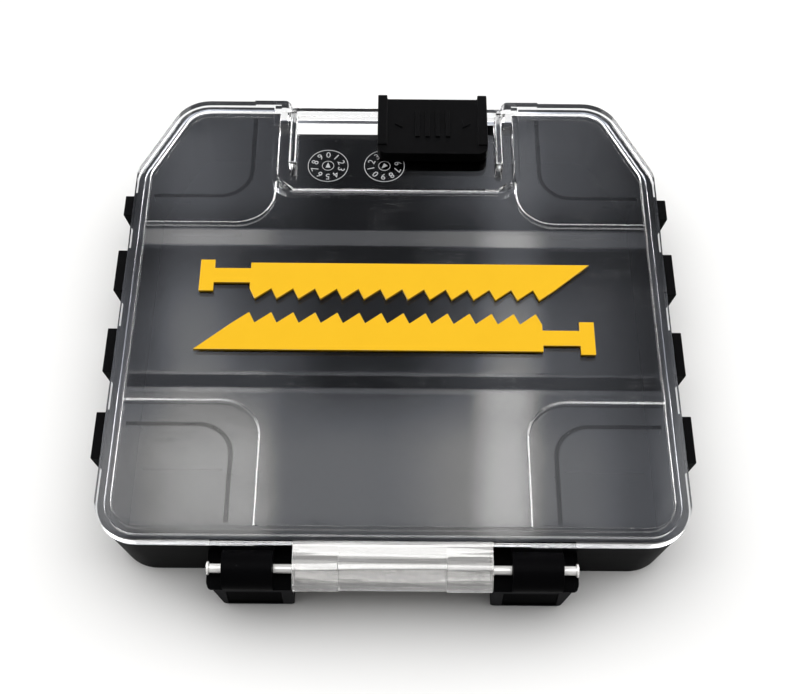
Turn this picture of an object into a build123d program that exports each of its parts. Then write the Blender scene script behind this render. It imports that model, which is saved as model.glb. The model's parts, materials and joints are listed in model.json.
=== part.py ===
from build123d import *
import os

# Saw blade storage case: a black tray, a clear hinged lid and a sliding latch.
#
# Millimetres, +Z up. X runs along the hinge, Y from the hinge side to the latch side. While a piece
# is being made, Y is measured from the lid's hinge-side edge. save() then moves the piece so that the
# origin is under the middle of the whole case, on the surface that it stands on.

# ---- driving dimensions ----
LID_WIDTH = 150.0        # along X, ribs not counted
LID_DEPTH = 142.8        # along Y, hinge bar and latch not counted
CASE_HEIGHT = 25.0       # underside to the lid's rim
CLEARANCE = 0.4          # between pieces that move past each other

# lid
CORNER_RADIUS = 11.0     # hinge-side corners
CUT_CORNER_X = 12.5      # latch-side corners are cut off at a slant
CUT_CORNER_Y = 26.5
CUT_END_RADIUS = 11.0
SKIRT_DROP = 3.5
SKIRT_THICK = 2.2
PLATE_UNDER = 2.35       # rim down to the plate's underside
RIM_WIDTH = 4.0          # raised edge round the plate
RIM_STEP = 0.35
DIP_DEPTH = 0.5          # shallow band across the middle, which carries the emblem
DIP_NEAR = 43.6
DIP_FAR = 95.4
DIP_RAMP = 5.2
PAD_STEP = 0.4           # sunk corner pads
PAD_SLOPE = 40           # degrees from upright of the step down to a pad
PAD_X = 34.9             # from the middle to a pad's inner side
PAD_NEAR = 39.8
PAD_FAR = 98.3
PAD_RADIUS = 10.5
PAD_TURN_Y = 113.4       # here the edges of the far pads turn in to the latch bay's corners
PAD_TURN_RADIUS = 1.2
PAD_OVER = 0.05          # the pad's cut starts this far above the plate
HOLD_DOWN_X = 41.9       # hold-down walls under the corners
HOLD_DOWN_NEAR = 33.3
HOLD_DOWN_FAR = 108.2
HOLD_DOWN_RADIUS = 9.0
HOLD_DOWN_THICK = 1.2
HOLD_DOWN_DROP = 5.6     # rim down to their lower edge

# latch bay in the lid
BAY_X = 34.6             # half width of the bay
BAY_NEAR = 112.0
BAY_RADIUS = 5.0
BAY_WALL = 1.8
BAY_ROLL = 3.6           # radius of the plate's rounded fall into the bay
ROLL_OVER = 0.1          # the round stops short of level and of upright by this much
ROLL_END_X = 33.0        # the rounding runs out in the bay's corners
ROLL_END_RADIUS = 0.4
LEDGE_DROP = 4.0         # rim down to the bay's floor
LEDGE_THICK = 2.0
LEDGE_FAR = 133.6
STOP_X = 29.3            # half of the way between the two end stops
STOP_THICK = 2.2
STOP_NEAR = 120.0
STOP_DROP = 0.8
STOP_ROUND = 0.9         # rounding of its upright corners
STOP_TOP_ROUND = 0.7     # and of its upper edges
SHOULDER_OUT = 42.4      # the lid's far edge is thicker beside the bay
SHOULDER_THICK = 0.4
SHOULDER_CUT_X = 32.4    # where it ends, it is cut off at a slant down to the stop
SHOULDER_CUT_Y = 138.0
SHOULDER_ROUND = 1.8     # rounding of the slant's outer corner
RAIL_NEAR = 138.8
RAIL_FAR = 142.3
RAIL_TOP_DROP = 2.0
RAIL_HEIGHT = 3.4
RAIL_ROUND = 0.25

# base tray
LIP_GAP = 0.3            # lid's edge in to the lip that the skirt rests over
FOOT_GAP = 2.9           # lid's edge in to the tray's wall at the underside
FOOT_RADIUS = 13.5       # hinge-side corners of the underside, measured at the lid's edge
WELL_GAP = 4.2           # lid's edge in to the well, at the top
WELL_GAP_LOW = 4.9
WELL_RADIUS = 12.0
WALL = 2.0
FLOOR = 2.0
TRAY_TOP_DROP = PLATE_UNDER + CLEARANCE
BACK_STEP_X = 30.2       # half width of the wall's step behind the latch
BACK_STEP_Y = 134.3
KEEPER_X = 27.5
KEEPER_FAR = 140.8
KEEPER_TOP_DROP = 6.5
KEEPER_THICK = 2.1

# grip ribs on the tray's sides
RIB_COUNT = 4            # on each side, the last one short
RIB_OUT_TOP = 78.4
RIB_OUT_LOW = 75.2
RIB_TOP_DROP = 4.0
RIB_LENGTH = 13.8
RIB_FIRST = 24.2
RIB_PITCH = 26.2
SHORT_RIB_LENGTH = 7.0
RIB_LOW_CUT = 1.5        # a rib is shorter at the underside by this much at each end

# low rests on the tray's floor
REST_IN = 46.5           # from the middle to a rest's ends
REST_OUT = 68.0
REST_Y = 30.7            # in from the lid's near and far edges
REST_WIDTH = 1.2
REST_HEIGHT = 1.0

# hinge
PIN_Y = -4.9
PIN_DROP = 6.4
PIN_RADIUS = 1.15
PIN_FIT = 0.05           # radial running fit in the knuckles
BAR_HALF = 24.8
BAR_MID_HALF = 13.5
BAR_RADIUS = 5.6
BAR_MID_RADIUS = 5.35
WEB_DROP = 0.3           # rim down to the top of the bar's web
WEB_FLAT = 1.0           # the web's level top, out from the lid's edge
WEB_ROOT_Y = PIN_Y + 0.8
WEB_ROOT_RISE = 5.25     # above the pin, just inside the bar
KNUCKLE_IN = BAR_HALF + CLEARANCE
KNUCKLE_OUT = 46.5
KNUCKLE_RADIUS = 5.35
HOOK_IN = 29.6
HOOK_OUT = 42.2
HOOK_MOUTH = 2.0         # snap slot for the pin
MOUTH_TILT = 45          # degrees above level, towards the lid
FOOT_FRONT = -7.1        # front of the knuckle's lower block
FOOT_CUT = 3.1           # the block's outer side slants in by this much at the bottom
FOOT_CUT_TOP = 14.0      # and starts to slant at this height
FOOT_ROUND = 1.2         # rounding of the block's bottom corners
FOOT_LIFT = 0.6          # above the surface that the case stands on
KNUCKLE_ROUND = 3.0      # rounding of the knuckle's outer front corner, seen from above
PANEL_IN = 28.2          # sunk panel in the block's front
PANEL_OUT = 42.3
PANEL_DEPTH = 0.35
PANEL_LIP = 0.5          # left standing under the panel
PANEL_HEIGHT = 8.0
PIN_END = 45.7
COLLAR_THICK = 0.6       # thin disc on the pin's outer end
COLLAR_RADIUS = 1.7

# latch
LATCH_CENTRE = 10.8      # at rest, just short of the keeper
LATCH_HALF = 16.3
LATCH_NEAR = 123.1
LATCH_FAR = 144.2
LATCH_TOP = 0.2          # above the rim
LATCH_PLATE = 1.7
LATCH_SKIN = 1.4
LATCH_NEAR_RADIUS = 3.0
BORDER_WIDTH = 2.8
BORDER_RISE = 0.7
BORDER_REACH = 1.0
HOOK_PLATE = 1.4
RAIL_HOOK_NEAR = 139.4
LOCK_HOOK_NEAR = 137.6
LOCK_DROP = 9.0
LATCH_TRAVEL_RIGHT = 1.8  # into the keeper
GRIP_COUNT = 4
GRIP_PITCH = 3.0
GRIP_WIDTH = 1.3
GRIP_RISE = 0.6
GRIP_Y = (129.2, 139.2)
ARROW_OFFSET = 8.9
ARROW_LENGTH = 2.4
ARROW_WIDTH = 3.0
ARROW_RISE = 0.4

# emblem: two jigsaw blades with their teeth facing each other
EMBLEM_MIDDLE = 69.5
EMBLEM_HALF = 14.2       # from the middle to a blade's spine
EMBLEM_RISE = 0.8
BLADE_LENGTH = 108.0
BLADE_BODY = 8.6
BLADE_TEETH = 14
TOOTH_HEIGHT = 3.4
TOOTH_LEAN = 1.6         # a tooth's point, along the blade from its root
SHANK_LENGTH = 14.0
SHANK_WIDTH = 4.8
TAB_LENGTH = 4.0
TAB_WIDTH = 10.4
TIP_LENGTH = 10.0

# ---- heights and edges worked out from them ----
RIM_Z = CASE_HEIGHT
PLATE_Z = RIM_Z - PLATE_UNDER
LEDGE_Z = RIM_Z - LEDGE_DROP
TRAY_TOP_Z = RIM_Z - TRAY_TOP_DROP
LIP_Z = RIM_Z - SKIRT_DROP - CLEARANCE
TONGUE_GAP = SKIRT_THICK + CLEARANCE
STEP_TOP_Z = LEDGE_Z - LEDGE_THICK - CLEARANCE
PIN_Z = RIM_Z - PIN_DROP
BLADE_PITCH = (BLADE_LENGTH - TIP_LENGTH - SHANK_LENGTH) / BLADE_TEETH
FRONT_Y = PIN_Y - BAR_RADIUS
BACK_Y = LATCH_FAR + BORDER_REACH
MIDDLE_Y = (FRONT_Y + BACK_Y) / 2
UPRIGHT = (0, 0, 1)
ACROSS = (1, 0, 0)
PAST = 1.0               # how far a cutting piece runs past the face that it cuts
FAR = 400.0              # larger than the case, for cutting away


def span(x, y, z):
    """A box between the low and high value of each axis."""
    size = [high - low for low, high in (x, y, z)]
    middle = [(high + low) / 2 for low, high in (x, y, z)]
    return Pos(*middle) * Box(*size)


def outline(inset=0.0, near_radius=CORNER_RADIUS):
    """The case's plan, set in from the lid's edge."""
    half = LID_WIDTH / 2
    corners = [
        (-half, 0), (half, 0), (half, LID_DEPTH - CUT_CORNER_Y), (half - CUT_CORNER_X, LID_DEPTH),
        (CUT_CORNER_X - half, LID_DEPTH), (-half, LID_DEPTH - CUT_CORNER_Y),
    ]
    plan = make_face(Polyline(*corners, close=True))
    near = plan.vertices().filter_by(lambda vertex: vertex.Y < CORNER_RADIUS)
    plan = fillet(near, near_radius)
    cut = plan.vertices().filter_by(lambda vertex: vertex.Y > LID_DEPTH / 2)
    plan = fillet(cut, CUT_END_RADIUS)
    return offset(plan, -inset) if inset else plan


def slab(inset, low, high):
    """The plan as a slab between two heights."""
    return Pos(0, 0, low) * extrude(outline(inset), high - low)


def drafted_block(foot, foot_z, top, top_z):
    """The plan as a block between two heights, with a plan of its own at each."""
    return loft([Pos(0, 0, foot_z) * foot, Pos(0, 0, top_z) * top])


def wall_gap(z):
    """How far the tray's outside is set in from the lid's edge at a height."""
    return FOOT_GAP + (LIP_GAP - FOOT_GAP) * z / LIP_Z


def both_sides(piece):
    """A piece and its mirror image across the middle of the case."""
    return piece + mirror(piece, Plane.YZ)


def disc(radius, x_low, x_high):
    """A cylinder on the hinge axis."""
    length = x_high - x_low
    return Pos((x_low + x_high) / 2, PIN_Y, PIN_Z) * Rot(0, 90, 0) * Cylinder(radius, length)


def profile(points, x_low, x_high):
    """A (y, z) outline carried along X."""
    face = make_face(Plane.YZ * Polyline(*points, close=True))
    return Pos(x_low, 0, 0) * extrude(face, x_high - x_low, dir=ACROSS)


# ---- base ----
def base_tray():
    outside = drafted_block(outline(FOOT_GAP, FOOT_RADIUS), 0, outline(LIP_GAP), LIP_Z)
    outside += slab(TONGUE_GAP, LIP_Z, TRAY_TOP_Z)
    outside -= span((-BACK_STEP_X, BACK_STEP_X), (BACK_STEP_Y, FAR), (-PAST, FAR))
    outside -= disc(BAR_RADIUS + CLEARANCE, -KNUCKLE_IN, KNUCKLE_IN)
    foot = outline(WELL_GAP_LOW, WELL_RADIUS)
    well = drafted_block(foot, FLOOR, outline(WELL_GAP), TRAY_TOP_Z)
    behind = BACK_STEP_X + WALL
    well -= span((-behind, behind), (BACK_STEP_Y - WALL, FAR), (-PAST, FAR))
    tray = outside - well
    under_bay = BAY_X + BAY_WALL + CLEARANCE
    near_bay = BAY_NEAR - BAY_WALL - CLEARANCE
    return tray - span((-under_bay, under_bay), (near_bay, FAR), (STEP_TOP_Z, FAR))


def grip_ribs():
    """The ribs on the right side; each leans in towards the underside."""
    top_z = RIM_Z - RIB_TOP_DROP
    ribs = []
    for number in range(RIB_COUNT):
        start = RIB_FIRST + number * RIB_PITCH
        end = start + (SHORT_RIB_LENGTH if number == RIB_COUNT - 1 else RIB_LENGTH)
        faces = []
        for z, out, cut in ((0, RIB_OUT_LOW, RIB_LOW_CUT), (top_z, RIB_OUT_TOP, 0)):
            wall = LID_WIDTH / 2 - wall_gap(z)
            corners = [(wall, start + cut), (out, start + cut), (out, end - cut), (wall, end - cut)]
            faces.append(Pos(0, 0, z) * make_face(Polyline(*corners, close=True)))
        ribs.append(loft(faces))
    return Compound(ribs)


def latch_keeper():
    top = RIM_Z - KEEPER_TOP_DROP
    return span((KEEPER_X, BACK_STEP_X), (BACK_STEP_Y, KEEPER_FAR), (top - KEEPER_THICK, top))


def blade_rests():
    """Four low ribs on the floor, near the ends of the well."""
    rests = []
    for x in ((REST_IN, REST_OUT), (-REST_OUT, -REST_IN)):
        for middle in (REST_Y, LID_DEPTH - REST_Y):
            y = (middle - REST_WIDTH / 2, middle + REST_WIDTH / 2)
            rests.append(span(x, y, (FLOOR, FLOOR + REST_HEIGHT)))
    return Compound(rests)


def hinge_knuckle():
    """Right knuckle: a block on the tray's front wall with a hook round the lid's pin."""
    saddle_z = PIN_Z - PIN_RADIUS - CLEARANCE
    section = [
        (FOOT_FRONT, FOOT_LIFT), (wall_gap(FOOT_LIFT), FOOT_LIFT),
        (wall_gap(saddle_z), saddle_z), (FOOT_FRONT, saddle_z),
    ]
    block = profile(section, KNUCKLE_IN, KNUCKLE_OUT)
    barrel = disc(KNUCKLE_RADIUS, KNUCKLE_IN, KNUCKLE_OUT)
    barrel -= span((-FAR, FAR), (-FAR, FAR), (saddle_z, FAR))
    hook = disc(KNUCKLE_RADIUS, HOOK_IN, HOOK_OUT)
    knuckle = block + barrel + hook
    collar_room = PIN_Z - COLLAR_RADIUS - CLEARANCE
    knuckle -= span((PIN_END - CLEARANCE, FAR), (-FAR, FAR), (collar_room, FAR))
    front = [
        (KNUCKLE_IN, FOOT_LIFT), (KNUCKLE_OUT - FOOT_CUT, FOOT_LIFT), (KNUCKLE_OUT, FOOT_CUT_TOP),
        (KNUCKLE_OUT, CASE_HEIGHT), (KNUCKLE_IN, CASE_HEIGHT),
    ]
    front = make_face(Polyline(*front, close=True))
    front = fillet(front.vertices().group_by(Axis.Y)[0], FOOT_ROUND)
    knuckle &= Rot(90, 0, 0) * extrude(front, FAR, both=True)
    above = span((KNUCKLE_IN, KNUCKLE_OUT), (PIN_Y - KNUCKLE_RADIUS, LID_DEPTH), (0, CASE_HEIGHT))
    corner = above.edges().filter_by(Axis.Z).group_by(Axis.Y)[0].sort_by(Axis.X)[-1]
    knuckle &= fillet(corner, KNUCKLE_ROUND)
    panel_z = (FOOT_LIFT + PANEL_LIP, FOOT_LIFT + PANEL_HEIGHT)
    knuckle -= span((PANEL_IN, PANEL_OUT), (-FAR, FOOT_FRONT + PANEL_DEPTH), panel_z)
    knuckle -= disc(PIN_RADIUS + PIN_FIT, HOOK_IN - PAST, HOOK_OUT + PAST)
    mouth = Box(FAR, KNUCKLE_RADIUS * 2, HOOK_MOUTH, align=(Align.CENTER, Align.MIN, Align.CENTER))
    mouth = Pos(0, PIN_Y, PIN_Z) * Rot(MOUTH_TILT, 0, 0) * mouth
    return knuckle - mouth


# ---- lid ----
def dip_cut(depth_from_rim):
    """The shallow band across the lid, with a ramp on both sides, cut to a depth below the rim."""
    floor_z = RIM_Z - depth_from_rim
    top_z = floor_z + DIP_DEPTH
    points = [
        (DIP_NEAR, top_z), (DIP_NEAR + DIP_RAMP, floor_z),
        (DIP_FAR - DIP_RAMP, floor_z), (DIP_FAR, top_z),
        (DIP_FAR, RIM_Z + PAST), (DIP_NEAR, RIM_Z + PAST),
    ]
    return profile(points, -LID_WIDTH, LID_WIDTH)


def corner_pad(near):
    """The plan of the right-hand pad beside the hinge, or beside the latch."""
    y_low, y_high = (-PAST, PAD_NEAR) if near else (PAD_FAR, LID_DEPTH + PAST)
    middle = Pos((PAD_X + LID_WIDTH) / 2, (y_low + y_high) / 2)
    plan = middle * Rectangle(LID_WIDTH - PAD_X, y_high - y_low)
    inner = plan.vertices().group_by(Axis.X)[0].sort_by(Axis.Y)[-1 if near else 0]
    plan = fillet(inner, PAD_RADIUS)
    if near:
        return plan
    beside_bay = Pos(PAD_X - BAY_RADIUS, PAD_TURN_Y)
    plan += beside_bay * Rectangle(BAY_RADIUS, y_high - PAD_TURN_Y, align=(Align.MIN, Align.MIN))
    turn = plan.vertices().sort_by_distance((PAD_X, PAD_TURN_Y, 0))[0]
    return fillet(turn, PAD_TURN_RADIUS)


def bay_plan(grow=0.0):
    """The latch bay's plan, open to the back."""
    half = BAY_X + grow
    near = BAY_NEAR - grow
    far = LID_DEPTH + PAST
    plan = Pos(0, (near + far) / 2) * Rectangle(2 * half, far - near)
    return fillet(plan.vertices().group_by(Axis.Y)[0], BAY_RADIUS + grow)


def bay_roll():
    """What the rounding takes off the plate along the bay's near edge."""
    top = RIM_Z - RIM_STEP
    straight = BAY_X - BAY_RADIUS
    corner_run = (BAY_RADIUS ** 2 - (ROLL_END_X - straight) ** 2) ** 0.5
    end_edge = BAY_NEAR + BAY_RADIUS - corner_run
    sections = []
    for x, edge, radius in ((straight, BAY_NEAR, BAY_ROLL), (ROLL_END_X, end_edge, ROLL_END_RADIUS)):
        corner = Pos(edge + ROLL_OVER, top + ROLL_OVER)
        square = corner * Rectangle(2 * radius, 2 * radius)
        left_over = square - corner * Pos(-radius, -radius) * Circle(radius)
        sections.append(Plane.YZ.offset(x) * left_over.face())
    along = extrude(sections[0], 2 * straight, dir=(-1, 0, 0))
    return along + both_sides(loft(sections))


def lid_cover():
    """Plate, raised rim, skirt and the walls of the latch bay."""
    above = RIM_Z + PAST
    skirt_low = RIM_Z - SKIRT_DROP
    shoulder_y = (LID_DEPTH - SKIRT_THICK, LID_DEPTH + SHOULDER_THICK)
    lid = slab(0, skirt_low, RIM_Z)
    lid += both_sides(span((BAY_X, SHOULDER_OUT), shoulder_y, (skirt_low, RIM_Z)))
    lid -= slab(SKIRT_THICK, 0, PLATE_Z)
    lid -= slab(RIM_WIDTH, RIM_Z - RIM_STEP, above)
    pad_z = RIM_Z - RIM_STEP - PAD_STEP
    for near in (True, False):
        pad = extrude(corner_pad(near), PAD_STEP + PAD_OVER, taper=-PAD_SLOPE)
        lid -= both_sides(Pos(0, 0, pad_z) * pad) & slab(RIM_WIDTH, 0, above)
    lid -= dip_cut(DIP_DEPTH)
    lid -= dip_cut(DIP_DEPTH + RIM_STEP) & slab(RIM_WIDTH, 0, above)
    bay = extrude(bay_plan(), above)
    wall_low = LEDGE_Z - LEDGE_THICK
    walls = Pos(0, 0, wall_low) * extrude(bay_plan(BAY_WALL), pad_z - wall_low)
    walls &= slab(0, 0, FAR)
    return lid + walls - bay - bay_roll()


def latch_ledge():
    """The bay's floor, the latch's end stops, and the end blocks that carry the rail."""
    low = LEDGE_Z - LEDGE_THICK
    block_y = (LID_DEPTH - RIM_WIDTH, LID_DEPTH + SHOULDER_THICK)
    stop = span((STOP_X, STOP_X + STOP_THICK), (STOP_NEAR, LID_DEPTH), (low, RIM_Z - STOP_DROP))
    stop = fillet(stop.edges().filter_by(Axis.Z).group_by(Axis.Y)[0], STOP_ROUND)
    stop = fillet(stop.edges().group_by(Axis.Z)[-1], STOP_TOP_ROUND)
    beside = span((STOP_X, BAY_X), (LEDGE_FAR, LID_DEPTH), (low, LEDGE_Z))
    end = stop + beside + span((STOP_X, BAY_X), block_y, (low, RIM_Z))
    slant = [
        (STOP_X - PAST, SHOULDER_CUT_Y), (STOP_X, SHOULDER_CUT_Y),
        (SHOULDER_CUT_X, block_y[1]), (SHOULDER_CUT_X, FAR), (STOP_X - PAST, FAR),
    ]
    end -= extrude(make_face(Polyline(*slant, close=True)), FAR)
    outer = end.edges().filter_by(Axis.Z).group_by(Axis.Y)[-1].sort_by(Axis.X)[0]
    end = fillet(outer, SHOULDER_ROUND)
    floor = Pos(0, 0, low) * extrude(bay_plan(), LEDGE_THICK)
    floor &= span((-FAR, FAR), (0, LEDGE_FAR), (0, FAR))
    return floor + both_sides(end)


def latch_rail():
    """The rail that the latch slides on, from end block to end block."""
    top = RIM_Z - RAIL_TOP_DROP
    rail = span((-SHOULDER_CUT_X, SHOULDER_CUT_X), (RAIL_NEAR, RAIL_FAR), (top - RAIL_HEIGHT, top))
    return fillet(rail.edges().filter_by(Axis.X), RAIL_ROUND) - latch_ledge()


def hinge_bar():
    """The bar between the knuckles; its web meets the lid's front edge."""
    bar = disc(BAR_MID_RADIUS, -BAR_HALF, BAR_HALF)
    bar += both_sides(disc(BAR_RADIUS, BAR_MID_HALF, BAR_HALF))
    low = RIM_Z - SKIRT_DROP
    high = RIM_Z - WEB_DROP
    web = [(PIN_Y, PIN_Z), (0, low), (0, high), (-WEB_FLAT, high), (WEB_ROOT_Y, PIN_Z + WEB_ROOT_RISE)]
    bar += profile(web, -BAR_HALF, BAR_HALF)
    return bar - span((-FAR, FAR), (0, FAR), (low, FAR))


def hinge_pin():
    return disc(PIN_RADIUS, BAR_HALF, PIN_END)


def pin_collar():
    """The disc that keeps the pin from working out sideways."""
    return disc(COLLAR_RADIUS, PIN_END, PIN_END + COLLAR_THICK)


def hold_down_wall(near):
    """Right-hand wall under the lid's corner, beside the hinge or beside the latch."""
    edge = WELL_GAP_LOW + CLEARANCE
    side = LID_WIDTH / 2 - edge
    end, turn = (edge, HOLD_DOWN_NEAR) if near else (LID_DEPTH - edge, HOLD_DOWN_FAR)
    corners = ((HOLD_DOWN_X, end), (HOLD_DOWN_X, turn), (side, turn))
    path = FilletPolyline(*corners, radius=HOLD_DOWN_RADIUS)
    low = RIM_Z - HOLD_DOWN_DROP
    return Pos(0, 0, low) * extrude(trace(path, HOLD_DOWN_THICK), PLATE_Z - low)


def emblem_blade():
    """A flat jigsaw blade, drawn from its shank: T-shaped shank, toothed body and slanted tip."""
    axis = BLADE_BODY / 2
    end = BLADE_LENGTH - TIP_LENGTH
    points = [
        (0, axis - TAB_WIDTH / 2), (TAB_LENGTH, axis - TAB_WIDTH / 2),
        (TAB_LENGTH, axis - SHANK_WIDTH / 2), (SHANK_LENGTH, axis - SHANK_WIDTH / 2),
        (SHANK_LENGTH, 0), (BLADE_LENGTH, 0), (end, BLADE_BODY),
    ]
    for tooth in range(BLADE_TEETH):
        root = end - (tooth + 1) * BLADE_PITCH
        points += [(root + TOOTH_LEAN, BLADE_BODY + TOOTH_HEIGHT), (root, BLADE_BODY)]
    points += [
        (SHANK_LENGTH, axis + SHANK_WIDTH / 2), (TAB_LENGTH, axis + SHANK_WIDTH / 2),
        (TAB_LENGTH, axis + TAB_WIDTH / 2), (0, axis + TAB_WIDTH / 2),
    ]
    blade = extrude(make_face(Polyline(*points, close=True)), EMBLEM_RISE)
    return Pos(0, 0, RIM_Z - RIM_STEP - DIP_DEPTH) * blade


def upper_blade():
    """Spine towards the latch, teeth towards the hinge, shank on the left."""
    return Pos(-BLADE_LENGTH / 2, EMBLEM_MIDDLE + EMBLEM_HALF, 0) * mirror(emblem_blade(), Plane.XZ)


def lower_blade():
    """The upper blade turned half round."""
    return Pos(BLADE_LENGTH / 2, EMBLEM_MIDDLE - EMBLEM_HALF, 0) * mirror(emblem_blade(), Plane.YZ)


# ---- latch ----
def latch_slider():
    """A cap over the rail, with a hook under the rail and a lower hook for the tray's keeper."""
    left, right = LATCH_CENTRE - LATCH_HALF, LATCH_CENTRE + LATCH_HALF
    top = RIM_Z + LATCH_TOP
    under = top - LATCH_PLATE
    skirt_low = LEDGE_Z + CLEARANCE
    lock_top = RIM_Z - LOCK_DROP
    cap = span((left, right), (LATCH_NEAR, LATCH_FAR), (skirt_low, top))
    cap = fillet(cap.edges().filter_by(Axis.Z).group_by(Axis.Y)[0], LATCH_NEAR_RADIUS)
    inside = (left + LATCH_SKIN, right - LATCH_SKIN)
    cap -= span(inside, (LATCH_NEAR + LATCH_SKIN, LATCH_FAR), (0, under))
    cap -= span((-FAR, FAR), (RAIL_NEAR - CLEARANCE, LATCH_FAR), (0, under))
    back = span((left, right), (LATCH_FAR - LATCH_SKIN, LATCH_FAR), (lock_top - HOOK_PLATE, under))
    rail_low = RIM_Z - RAIL_TOP_DROP - RAIL_HEIGHT
    rail_hook_end = KEEPER_X - CLEARANCE - LATCH_TRAVEL_RIGHT
    rail_hook = span((left, rail_hook_end), (RAIL_HOOK_NEAR, LATCH_FAR),
                     (rail_low - CLEARANCE - HOOK_PLATE, rail_low - CLEARANCE))
    lock_hook = span((LATCH_CENTRE, right), (LOCK_HOOK_NEAR, LATCH_FAR),
                     (lock_top - HOOK_PLATE, lock_top))
    slider = cap + back + rail_hook + lock_hook
    border_y = (LATCH_NEAR + LATCH_NEAR_RADIUS, LATCH_FAR + BORDER_REACH)
    for x in ((left, left + BORDER_WIDTH), (right - BORDER_WIDTH, right)):
        slider += span(x, border_y, (under, top + BORDER_RISE))
    return slider


def latch_grip_ribs():
    """Raised ribs for the thumb."""
    low = RIM_Z + LATCH_TOP
    first = LATCH_CENTRE - (GRIP_COUNT - 1) * GRIP_PITCH / 2
    ribs = []
    for number in range(GRIP_COUNT):
        middle = first + number * GRIP_PITCH
        x = (middle - GRIP_WIDTH / 2, middle + GRIP_WIDTH / 2)
        ribs.append(span(x, GRIP_Y, (low, low + GRIP_RISE)))
    return Compound(ribs)


def latch_arrows():
    """A raised triangle on each side of the grip, pointing along the latch's travel."""
    y = sum(GRIP_Y) / 2
    half = ARROW_WIDTH / 2
    arrows = []
    for way in (-1, 1):
        back = LATCH_CENTRE + way * ARROW_OFFSET
        corners = [(back, y - half), (back + way * ARROW_LENGTH, y), (back, y + half)]
        plan = Pos(0, 0, RIM_Z + LATCH_TOP) * make_face(Polyline(*corners, close=True))
        arrows.append(extrude(plan, ARROW_RISE, dir=UPRIGHT))
    return Compound(arrows)


def save(name, piece):
    """Write one piece, moved so that the origin is under the middle of the case."""
    export_step(Pos(0, -MIDDLE_Y, 0) * piece, f"parts/{name}.step")


def save_pair(name, right_piece):
    """Write a right-hand piece and its mirror image."""
    save(f"{name}_right", right_piece)
    save(f"{name}_left", mirror(right_piece, Plane.YZ))


os.makedirs("parts", exist_ok=True)

save("base_tray", base_tray())
save_pair("grip_ribs", grip_ribs())
save("latch_keeper", latch_keeper())
save("blade_rests", blade_rests())
save_pair("hinge_knuckle", hinge_knuckle())

save("lid_cover", lid_cover())
save("latch_ledge", latch_ledge())
save("latch_rail", latch_rail())
save("hinge_bar", hinge_bar())
save_pair("hinge_pin", hinge_pin())
save_pair("pin_collar", pin_collar())
save_pair("hold_down_wall_near", hold_down_wall(near=True))
save_pair("hold_down_wall_far", hold_down_wall(near=False))
save("emblem_blade_upper", upper_blade())
save("emblem_blade_lower", lower_blade())

save("latch_slider", latch_slider())
save("latch_grip_ribs", latch_grip_ribs())
save("latch_arrows", latch_arrows())
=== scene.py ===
import json
import math

import bmesh
import bpy
from bpy.props import FloatProperty, FloatVectorProperty, PointerProperty
from bpy.types import Operator, Panel, PropertyGroup
from mathutils import Matrix, Vector

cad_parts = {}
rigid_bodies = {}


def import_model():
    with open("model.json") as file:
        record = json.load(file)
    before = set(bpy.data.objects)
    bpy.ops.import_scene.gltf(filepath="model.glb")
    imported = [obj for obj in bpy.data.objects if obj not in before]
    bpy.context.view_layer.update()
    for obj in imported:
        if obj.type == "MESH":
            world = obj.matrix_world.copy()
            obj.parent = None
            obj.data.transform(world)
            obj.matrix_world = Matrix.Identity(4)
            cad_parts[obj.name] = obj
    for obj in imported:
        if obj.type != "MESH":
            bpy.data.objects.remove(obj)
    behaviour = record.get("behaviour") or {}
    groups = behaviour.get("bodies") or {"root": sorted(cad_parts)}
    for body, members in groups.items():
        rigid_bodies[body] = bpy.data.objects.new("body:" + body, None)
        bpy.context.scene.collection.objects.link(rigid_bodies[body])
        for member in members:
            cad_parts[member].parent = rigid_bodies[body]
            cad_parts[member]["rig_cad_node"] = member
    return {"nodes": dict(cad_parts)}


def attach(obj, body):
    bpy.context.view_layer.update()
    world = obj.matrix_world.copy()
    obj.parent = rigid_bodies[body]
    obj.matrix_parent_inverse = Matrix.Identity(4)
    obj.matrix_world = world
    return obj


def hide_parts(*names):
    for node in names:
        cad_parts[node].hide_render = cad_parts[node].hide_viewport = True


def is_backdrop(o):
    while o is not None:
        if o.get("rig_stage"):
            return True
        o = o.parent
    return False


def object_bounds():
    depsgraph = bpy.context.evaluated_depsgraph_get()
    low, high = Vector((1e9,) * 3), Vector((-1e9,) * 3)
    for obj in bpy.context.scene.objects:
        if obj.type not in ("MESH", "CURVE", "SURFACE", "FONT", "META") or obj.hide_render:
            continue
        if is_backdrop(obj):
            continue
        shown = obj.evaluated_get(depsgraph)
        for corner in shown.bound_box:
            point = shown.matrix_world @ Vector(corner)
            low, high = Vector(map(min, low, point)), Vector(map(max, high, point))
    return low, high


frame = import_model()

bl_info = {
    "name": "Saw Blade Case",
    "version": (1, 0, 0),
    "blender": (4, 5, 0),
    "location": "3D View > Sidebar > Saw Blade Case",
    "description": "Finishes the pieces of a saw blade storage case and sets up its studio",
    "category": "Object",
}

CAD_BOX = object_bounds()
MM = 0.001

TRAY_NODES = ["base_tray", "grip_ribs_left", "grip_ribs_right", "latch_keeper", "blade_rests"]
KNUCKLE_NODES = ["hinge_knuckle_left", "hinge_knuckle_right"]
CLEAR_NODES = [
    "lid_cover", "latch_ledge", "latch_rail", "hinge_bar", "hinge_pin_left", "hinge_pin_right",
    "pin_collar_left", "pin_collar_right", "hold_down_wall_near_left", "hold_down_wall_near_right",
    "hold_down_wall_far_left", "hold_down_wall_far_right",
]
EMBLEM_NODES = ["emblem_blade_upper", "emblem_blade_lower"]
LATCH_NODES = ["latch_slider", "latch_grip_ribs", "latch_arrows"]


def reach(node):
    """Lowest and highest corner of a CAD node, in metres."""
    places = [vertex.co for vertex in frame["nodes"][node].data.vertices]
    return Vector(map(min, *places)), Vector(map(max, *places))


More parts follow.
